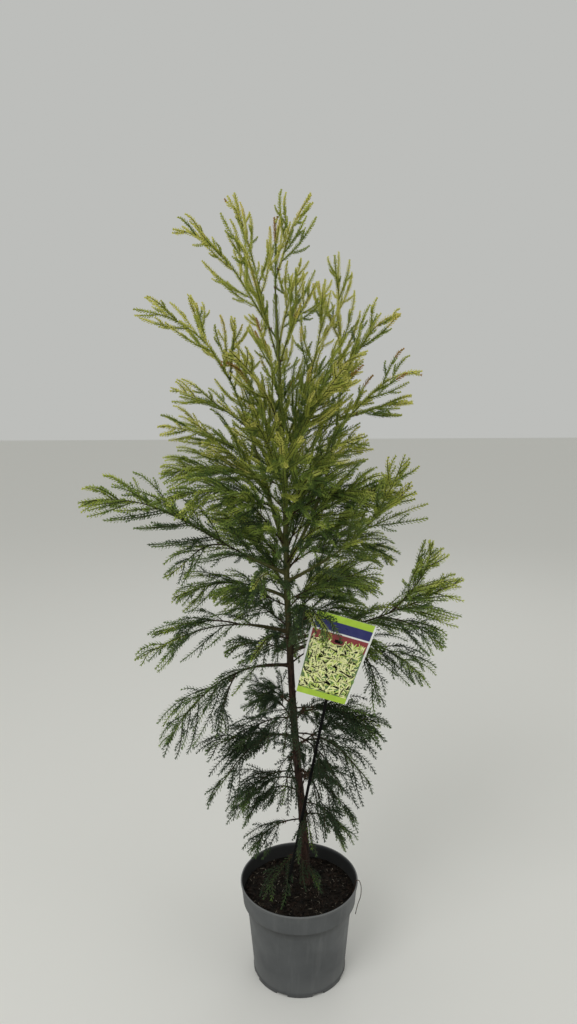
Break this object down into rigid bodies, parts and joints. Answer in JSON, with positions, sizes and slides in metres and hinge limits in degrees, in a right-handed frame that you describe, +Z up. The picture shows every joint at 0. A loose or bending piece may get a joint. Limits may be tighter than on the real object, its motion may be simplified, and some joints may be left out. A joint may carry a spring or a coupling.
{
  "type": "potted japanese cedar",
  "caption": "Young japanese cedar with loose tiers of ropey needle shoots, standing in a round nursery pot of soil with a hanging tag on a stick.",
  "frame": {"origin": "centre of the pot's flat underside", "axes": "+Z up along the tree, +X to the right and -Y towards the side where the tag hangs"},
  "size_m": [0.6489, 0.4631, 1.4415],
  "materials": {
    "pot": "semi-matte charcoal, lightly scuffed",
    "soil": "dark moist bark and compost",
    "trunk": "rough red-brown fibrous bark",
    "bough": "thin brown-green bark",
    "foliage_low": "deep blue-green needles",
    "foliage_middle": "mid green needles",
    "foliage_high": "yellow-green needles with golden tips",
    "tag_card": "thin printed plastic card",
    "tag_stick": "black",
    "rim_wire": "thin dark coated wire"
  },
  "bodies": {
    "root": {"bough_droop_left": "bough", "bough_droop_right": "bough", "bough_flat_left": "bough", "bough_long_left": "bough", "bough_low_right": "bough", "bough_near_right": "bough", "bough_swept_left": "bough", "bough_tall_left": "bough", "bough_tall_right": "bough", "foliage_back_left": "foliage_middle", "foliage_back_mid": "foliage_middle", "foliage_back_right": "foliage_middle", "foliage_back_top": "foliage_high", "foliage_back_up": "foliage_high", "foliage_back_up_right": "foliage_high", "foliage_droop_left": "foliage_low", "foliage_droop_right": "foliage_low", "foliage_flat_left": "foliage_middle", "foliage_foot_front": "foliage_low", "foliage_foot_left": "foliage_low", "foliage_foot_right": "foliage_low", "foliage_front_left_up": "foliage_high", "foliage_front_mid": "foliage_high", "foliage_front_up": "foliage_high", "foliage_leader": "foliage_high", "foliage_long_left": "foliage_middle", "foliage_low_right": "foliage_middle", "foliage_mid_back": "foliage_low", "foliage_mid_back_right": "foliage_middle", "foliage_mid_front": "foliage_middle", "foliage_near_left": "foliage_middle", "foliage_near_right": "foliage_high", "foliage_right_mid": "foliage_middle", "foliage_skirt_back": "foliage_low", "foliage_skirt_back_far": "foliage_low", "foliage_skirt_back_left": "foliage_low", "foliage_skirt_back_right": "foliage_low", "foliage_skirt_front_right": "foliage_low", "foliage_skirt_left": "foliage_low", "foliage_skirt_near": "foliage_low", "foliage_skirt_right": "foliage_low", "foliage_spire_right": "foliage_high", "foliage_swept_left": "foliage_middle", "foliage_tall_left": "foliage_high", "foliage_tall_left_lower": "foliage_high", "foliage_tall_left_wing": "foliage_high", "foliage_tall_right": "foliage_high", "foliage_tall_right_wing": "foliage_high", "foliage_top_back": "foliage_high", "foliage_top_left": "foliage_high", "foliage_top_mid": "foliage_high", "foliage_top_near": "foliage_high", "foliage_wing_left": "foliage_middle", "pot": "pot", "rim_wire": "rim_wire", "soil": "soil", "tag_card": "tag_card", "tag_stick": "tag_stick", "trunk": "trunk"}
  },
  "joints": []
}
